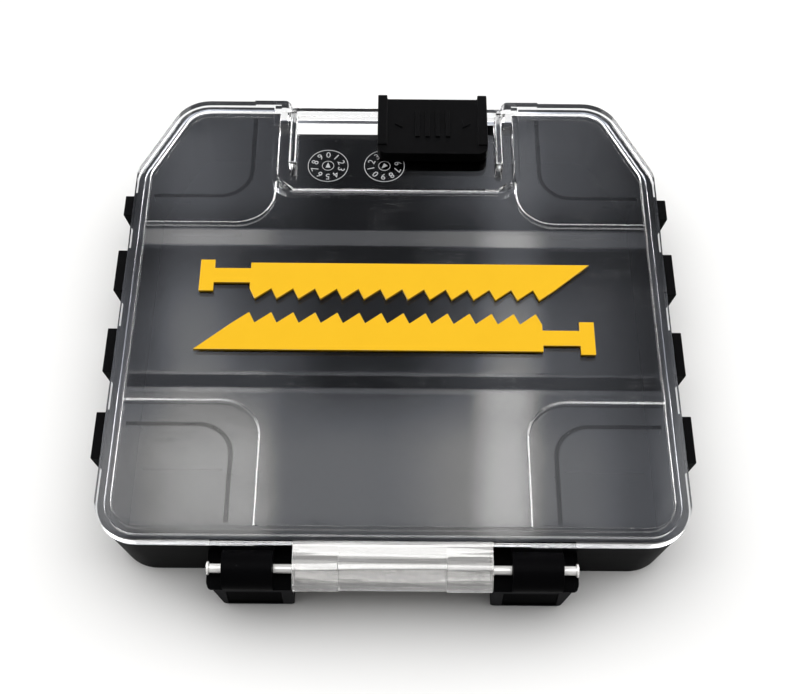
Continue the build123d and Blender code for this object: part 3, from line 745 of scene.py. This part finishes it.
class SAWCASE_OT_clear_lid(Operator):
    """Join the clear lid's parts into the one moulding that they are, and round its edges"""
    bl_idname = "sawcase.clear_lid"
    bl_label = "Clear lid"

    def execute(self, context):
        sizes, colours = context.scene.sawcase_sizes, context.scene.sawcase_colours
        lid = copy_of(CLEAR_NODES[0], "clear_lid_moulding")
        others = join([copy_of(node, f"{node}_part") for node in CLEAR_NODES[1:]])
        apply_modifier(lid, "BOOLEAN", operation="UNION", solver="EXACT", use_self=True, object=others)
        bpy.data.objects.remove(others)
        merge_flats(lid, LID_MERGE)
        bevel_where(lid, self.is_ramp_edge, sizes.ramp_rounding, segments=3)
        bevel_where(lid, self.is_rounded_edge, sizes.lid_rounding, segments=2)
        drop_slivers(lid)
        smooth_shade(lid)
        finish(lid, "lid", clear_plastic("clear_lid_plastic", colours.lid), CLEAR_NODES)
        bar_skin = clear_plastic("scuffed_hinge_plastic", colours.hinge, clearness=BAR_CLEARNESS,
                                 gloss=SCUFFED_GLOSS, ridges=RIDGE_HEIGHT)
        pin_skin = clear_plastic("white_pin_plastic", colours.hinge, clearness=PIN_CLEARNESS,
                                 gloss=SCUFFED_GLOSS)
        wall_skin = clear_plastic("dull_wall_plastic", colours.lid, bend=DULL_BEND)
        self.share_out(lid, bar_skin, pin_skin, wall_skin)
        return {"FINISHED"}

    @staticmethod
    def share_out(lid, bar_skin, pin_skin, wall_skin):
        """Give the hinge bar, the pins and the hold-down walls the plastics of their own."""
        for skin in (bar_skin, pin_skin, wall_skin):
            lid.data.materials.append(skin)
        bar, pin, wall = 1, 2, 3
        heights = [vertex.co.z for vertex in lid.data.vertices]
        for face in lid.data.polygons:
            if face.center.y < BAR_START:
                face.material_index = pin if abs(face.center.x) > PIN_START else bar
            elif any(abs(heights[corner] - WALL_FOOT) < CLOSE for corner in face.vertices):
                face.material_index = wall

    @staticmethod
    def is_ramp_edge(edge):
        """A long edge across the plate where a ramp meets a flat."""
        along = edge.verts[1].co - edge.verts[0].co
        turn = math.degrees(edge.calc_face_angle())
        on_plate = edge.verts[0].co.z > PLATE_LOWEST
        return on_plate and RAMP_TURN[0] < turn < RAMP_TURN[1] and abs(along.x) > RAMP_LENGTH

    @staticmethod
    def is_outline(edge):
        """On the lid's outer wall, which is left crisp."""
        place = edge.verts[0].co
        if abs(place.x) < OUTLINE_X and NEAR_WALL < place.y < FAR_WALL:
            return False
        return any(abs(face.normal.z) < 0.1 and face.normal.x * place.x + face.normal.y * place.y > 0.0
                   for face in edge.link_faces)

    @staticmethod
    def is_rounded_edge(edge):
        """A sharp edge of the plate, the rim, the skirt, the bay or the hinge bar."""
        if math.degrees(edge.calc_face_angle()) < SHARP_TURN or edge.calc_length() < SHORT_EDGE:
            return False
        low = min(vertex.co.z for vertex in edge.verts)
        far = min(vertex.co.y for vertex in edge.verts)
        near = max(vertex.co.y for vertex in edge.verts)
        if far > RAIL_START and low < RAIL_TOP:
            return False
        if near < BAR_START:
            return True
        middle = (edge.verts[0].co + edge.verts[1].co) / 2
        in_corner = (BAY_CORNER_X[0] < abs(middle.x) < BAY_CORNER_X[1]
                     and BAY_CORNER_Y[0] < middle.y < BAY_CORNER_Y[1])
        return low > PLATE_LOWEST and not in_corner and not SAWCASE_OT_clear_lid.is_outline(edge)


class SAWCASE_OT_emblem(Operator):
    """Finish the two raised jigsaw blades on the lid"""
    bl_idname = "sawcase.emblem"
    bl_label = "Emblem"

    def execute(self, context):
        sizes, colours = context.scene.sawcase_sizes, context.scene.sawcase_colours
        skin = yellow_foil("yellow_emblem_foil", colours.emblem)
        for node in EMBLEM_NODES:
            piece = copy_of(node, f"{node}_relief")
            round_edges(piece, sizes.emblem_rounding)
            finish(piece, "lid", skin, [node])
        return {"FINISHED"}


class SAWCASE_OT_dials(Operator):
    """Model the two raised date dials on the latch's ledge"""
    bl_idname = "sawcase.dials"
    bl_label = "Date dials"

    def execute(self, context):
        sizes, colours = context.scene.sawcase_sizes, context.scene.sawcase_colours
        skin = frosted_mark("frosted_lid_mark", colours.mark)
        dial = self.dial(sizes.dial_radius, sizes.mark_height)
        for number, (x, y, turn) in enumerate(DIAL_PLACES):
            only(dial)
            bpy.ops.object.duplicate()
            piece = context.view_layer.objects.active
            piece.name = piece.data.name = f"date_dial_{number + 1}"
            piece.rotation_euler.z = math.radians(turn)
            piece.location = (x * MM, y * MM, LEDGE_TOP - DIAL_SINK)
            bpy.ops.object.transform_apply(location=True, rotation=True, scale=True)
            finish(piece, "lid", skin)
        bpy.data.objects.remove(dial)
        return {"FINISHED"}

    def dial(self, radius, height):
        """A dial at the origin: two rings, ten figures and an arrow."""
        parts = [self.ring(radius, RIM_WIDTH * radius, height),
                 self.ring(HUB_RADIUS * radius, HUB_WIDTH * radius, height)]
        for figure in range(DIAL_FIGURES):
            angle = 2.0 * math.pi * figure / DIAL_FIGURES
            out = FIGURE_RADIUS * radius
            place = (out * math.sin(angle), out * math.cos(angle), 0.0)
            parts.append(self.number(str(figure), place, -angle, FIGURE_SIZE * radius, height))
        parts.append(self.arrow(ARROW_REACH * radius, height))
        return join(parts)

    def ring(self, radius, width, height):
        """A flat ring, raised from the surface."""
        bpy.ops.object.select_all(action="DESELECT")
        bpy.ops.mesh.primitive_circle_add(vertices=40, radius=radius, fill_type="NGON")
        ring = bpy.context.active_object
        bpy.ops.object.mode_set(mode="EDIT")
        bpy.ops.mesh.select_all(action="SELECT")
        bpy.ops.mesh.inset(thickness=width)
        bpy.ops.mesh.delete(type="FACE")
        bpy.ops.object.mode_set(mode="OBJECT")
        apply_modifier(ring, "SOLIDIFY", thickness=height, offset=1.0)
        return ring

    def number(self, text, place, turn, size, height):
        """A raised figure, turned so that its foot is towards the dial's middle."""
        bpy.ops.object.select_all(action="DESELECT")
        bpy.ops.object.text_add(location=place, rotation=(0.0, 0.0, turn))
        number = bpy.context.active_object
        curve = number.data
        curve.body, curve.size, curve.extrude = text, size, height / 2
        curve.align_x, curve.align_y, curve.resolution_u = "CENTER", "CENTER", 2
        bpy.ops.object.convert(target="MESH")
        number = bpy.context.active_object
        number.location.z = height / 2
        bpy.ops.object.transform_apply(location=True, rotation=True, scale=True)
        return number

    def arrow(self, reach, height):
        """A raised arrowhead."""
        bpy.ops.object.select_all(action="DESELECT")
        bpy.ops.mesh.primitive_circle_add(vertices=3, radius=reach, fill_type="NGON")
        arrow = bpy.context.active_object
        bpy.ops.object.mode_set(mode="EDIT")
        bpy.ops.mesh.select_all(action="SELECT")
        bpy.ops.transform.resize(value=ARROW_SHAPE)
        bpy.ops.object.mode_set(mode="OBJECT")
        apply_modifier(arrow, "SOLIDIFY", thickness=height, offset=1.0)
        return arrow


class SAWCASE_OT_latch(Operator):
    """Finish the sliding latch with its grip ribs and arrows"""
    bl_idname = "sawcase.latch"
    bl_label = "Latch"

    def execute(self, context):
        sizes, colours = context.scene.sawcase_sizes, context.scene.sawcase_colours
        skin = black_plastic("black_latch_plastic", colours.latch, colours.dust,
                             grain_scale=9000.0, roughness=0.44, bump=0.25, gloss=0.012)
        for node in LATCH_NODES:
            piece = copy_of(node, f"{node}_moulding")
            is_slider = node == "latch_slider"
            round_edges(piece, sizes.latch_rounding if is_slider else sizes.latch_mark_rounding)
            finish(piece, "latch", skin, [node])
        return {"FINISHED"}


# ---- studio ----
class SAWCASE_OT_stage(Operator):
    """Set the floor, the studio light and the camera"""
    bl_idname = "sawcase.stage"
    bl_label = "Stage"

    def execute(self, context):
        studio = context.scene.sawcase_studio
        self.floor()
        self.light(context.scene, studio)
        self.camera(context.scene, studio)
        context.scene.view_settings.view_transform = "Standard"
        return {"FINISHED"}

    def floor(self):
        """A wide pale floor."""
        bpy.ops.object.select_all(action="DESELECT")
        bpy.ops.mesh.primitive_circle_add(vertices=96, radius=FLOOR_RADIUS, fill_type="NGON")
        floor = bpy.context.active_object
        floor.name = "studio_floor"
        material, _, skin, _ = new_material("pale_floor")
        skin.inputs["Base Color"].default_value = FLOOR_WHITE
        skin.inputs["Roughness"].default_value = 0.9
        skin.inputs["Specular IOR Level"].default_value = 0.1
        floor.data.materials.append(material)
        floor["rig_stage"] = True

    def light(self, scene, studio):
        """A broad soft light behind the case, and the pale room that its gloss mirrors."""
        world = bpy.data.worlds.new("studio_light")
        scene.world = world
        world.use_nodes = True
        wires = Wiring(world.node_tree)
        split = wires.add("ShaderNodeSeparateXYZ")
        wires.feed(split.inputs[0], wires.add("ShaderNodeTexCoord").outputs["Generated"])
        side = split.outputs["X"]
        tilt = wires.math("ARCTAN2", split.outputs["Y"], split.outputs["Z"])
        tilt = wires.math("MULTIPLY", tilt, math.degrees(1.0))

        path = wires.add("ShaderNodeLightPath")
        glossy = wires.math("MAXIMUM", path.outputs["Is Glossy Ray"], path.outputs["Is Transmission Ray"])
        lit = wires.math("ADD", self.soft_box(wires, tilt, side, studio), studio.fill_light)
        gap = wires.product(wires.band(tilt, *GAP_TILTS),
                            wires.ramp(wires.math("ABSOLUTE", side), *GAP_SIDES))
        mirrored = self.mirrored_room(wires, tilt, side, gap, studio)
        strength = wires.total(wires.product(glossy, mirrored),
                               wires.product(wires.math("SUBTRACT", 1.0, glossy), lit),
                               wires.product(path.outputs["Is Camera Ray"], studio.backdrop))
        background = world.node_tree.nodes["Background"]
        wires.feed(background.inputs["Strength"], strength)
        dim = wires.product(gap, wires.ramp(mirrored, *DIM_ROOM), glossy)
        wires.feed(background.inputs["Color"], wires.blend(dim, WARM_WHITE, COOL_WHITE))

    def soft_box(self, wires, tilt, side, studio):
        """The broad light that everything but gloss sees."""
        out = wires.math("ABSOLUTE", side)
        return wires.product(wires.band(tilt, *SOFT_TILTS), wires.ramp(out, *SOFT_SIDES), studio.soft_light)

    def mirrored_room(self, wires, tilt, side, gap, studio):
        """What gloss and clear plastic see: soft boxes, a pale room, and a dark gap with a window."""
        out = wires.math("ABSOLUTE", side)
        overhead = wires.product(wires.bands(tilt, OVERHEAD_TILTS), wires.ramp(out, *OVERHEAD_SIDES),
                                 studio.overhead)
        boxes = wires.product(wires.band(out, *BOX_SIDES), wires.band(tilt, *BOX_TILTS), studio.side_boxes)
        front = wires.total(wires.ramp(tilt, *ROOM_FRONT), wires.ramp(tilt, *ROOM_LOW_FRONT))
        room = wires.product(wires.math("SUBTRACT", 1.0, gap), front, studio.room)
        far_wall = wires.product(wires.band(tilt, *FAR_WALL_TILTS), studio.far_wall)
        inside_gap = wires.math("ADD", self.window(wires, tilt, side), self.streaks(wires, tilt, side))
        return wires.total(overhead, boxes, room, far_wall, wires.product(gap, inside_gap))

    def window(self, wires, tilt, side):
        """The low window that the lid's hinge half mirrors, brighter at two upright panes."""
        level = wires.band(tilt, *WINDOW_TILTS)
        even = wires.total(wires.ramp(side, *WINDOW_LEFT_END), wires.ramp(side, *WINDOW_RIGHT_END))
        left = wires.product(wires.band(side, *LEFT_PANE), LEFT_LIGHT)
        right_haze = wires.product(wires.band(side, *RIGHT_HAZE), RIGHT_HAZE_LIGHT)
        right = wires.product(wires.band(side, *RIGHT_PANE), wires.band(tilt, *RIGHT_PANE_TILTS),
                              RIGHT_LIGHT)
        return wires.math("ADD", wires.product(level, wires.total(even, left, right_haze)), right)

    def streaks(self, wires, tilt, side):
        """The dark room above the window, with the panes' reflections fading upwards."""
        thin_level = wires.total(wires.bands(tilt, THIN_TILTS), wires.ramp(tilt, *THIN_RETURN))
        thin = wires.product(thin_level, wires.bands(side, THIN_STREAKS))
        rises = [wires.product(wires.ramp(tilt, *limits), level) for limits, level in WIDE_RISES]
        wide_level = wires.total(wires.product(wires.band(tilt, *WIDE_TILTS), WIDE_LEVEL), *rises)
        wide = wires.product(wires.bands(side, WIDE_STREAKS), wide_level)
        edges = wires.product(wires.ramp(wires.math("ABSOLUTE", side), *ROOM_EDGES), EDGE_LIGHT)
        base = wires.math("SUBTRACT", ROOM_BASE, wires.ramp(tilt, *ROOM_FADE))
        return wires.total(thin, wide, edges, base)

    def camera(self, scene, studio):
        """A camera at its place, turned by its pitch, yaw and roll."""
        pitch, yaw, roll = studio.camera_pitch, studio.camera_yaw, studio.camera_roll
        ahead = Vector((math.sin(yaw) * math.cos(pitch), math.cos(yaw) * math.cos(pitch), -math.sin(pitch)))
        right = Vector((math.cos(yaw), -math.sin(yaw), 0.0))
        above = right.cross(ahead)
        turned_right = right * math.cos(roll) + above * math.sin(roll)
        turned_up = above * math.cos(roll) - right * math.sin(roll)
        turn = Matrix((turned_right, turned_up, -ahead)).transposed().to_4x4()
        data = bpy.data.cameras.new("studio_camera")
        data.lens = studio.focal_length
        data.sensor_width = 36.0
        data.clip_start = 0.01
        camera = bpy.data.objects.new("studio_camera", data)
        scene.collection.objects.link(camera)
        camera.matrix_world = Matrix.Translation(studio.camera_place) @ turn
        scene.camera = camera


class SAWCASE_PT_panel(Panel):
    """The pieces of the case and the sizes and colours they are made with"""
    bl_idname = "SAWCASE_PT_panel"
    bl_label = "Saw Blade Case"
    bl_space_type = "VIEW_3D"
    bl_region_type = "UI"
    bl_category = "Saw Blade Case"

    def draw(self, context):
        scene = context.scene
        for group in (scene.sawcase_sizes, scene.sawcase_colours, scene.sawcase_studio):
            box = self.layout.box()
            for name in group.bl_rna.properties.keys():
                if name not in ("rna_type", "name"):
                    box.prop(group, name)
        for operator in OPERATORS:
            self.layout.operator(operator.bl_idname)


GROUPS = {"sawcase_sizes": CaseSizes, "sawcase_colours": CaseColours, "sawcase_studio": StudioSettings}
OPERATORS = [
    SAWCASE_OT_tray, SAWCASE_OT_clear_lid, SAWCASE_OT_emblem, SAWCASE_OT_dials, SAWCASE_OT_latch,
    SAWCASE_OT_stage,
]


def register():
    for cls in [*GROUPS.values(), *OPERATORS, SAWCASE_PT_panel]:
        bpy.utils.register_class(cls)
    for name, cls in GROUPS.items():
        setattr(bpy.types.Scene, name, PointerProperty(type=cls))


def unregister():
    for name in GROUPS:
        delattr(bpy.types.Scene, name)
    for cls in reversed([*GROUPS.values(), *OPERATORS, SAWCASE_PT_panel]):
        bpy.utils.unregister_class(cls)


def main():
    register()
    for operator in OPERATORS:
        category, name = operator.bl_idname.split(".")
        getattr(getattr(bpy.ops, category), name)()
    boxes = {"cad": CAD_BOX, "visual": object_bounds()}
    boxes = {key: [list(corner) for corner in box] for key, box in boxes.items()}


if __name__ == "__main__":
    main()
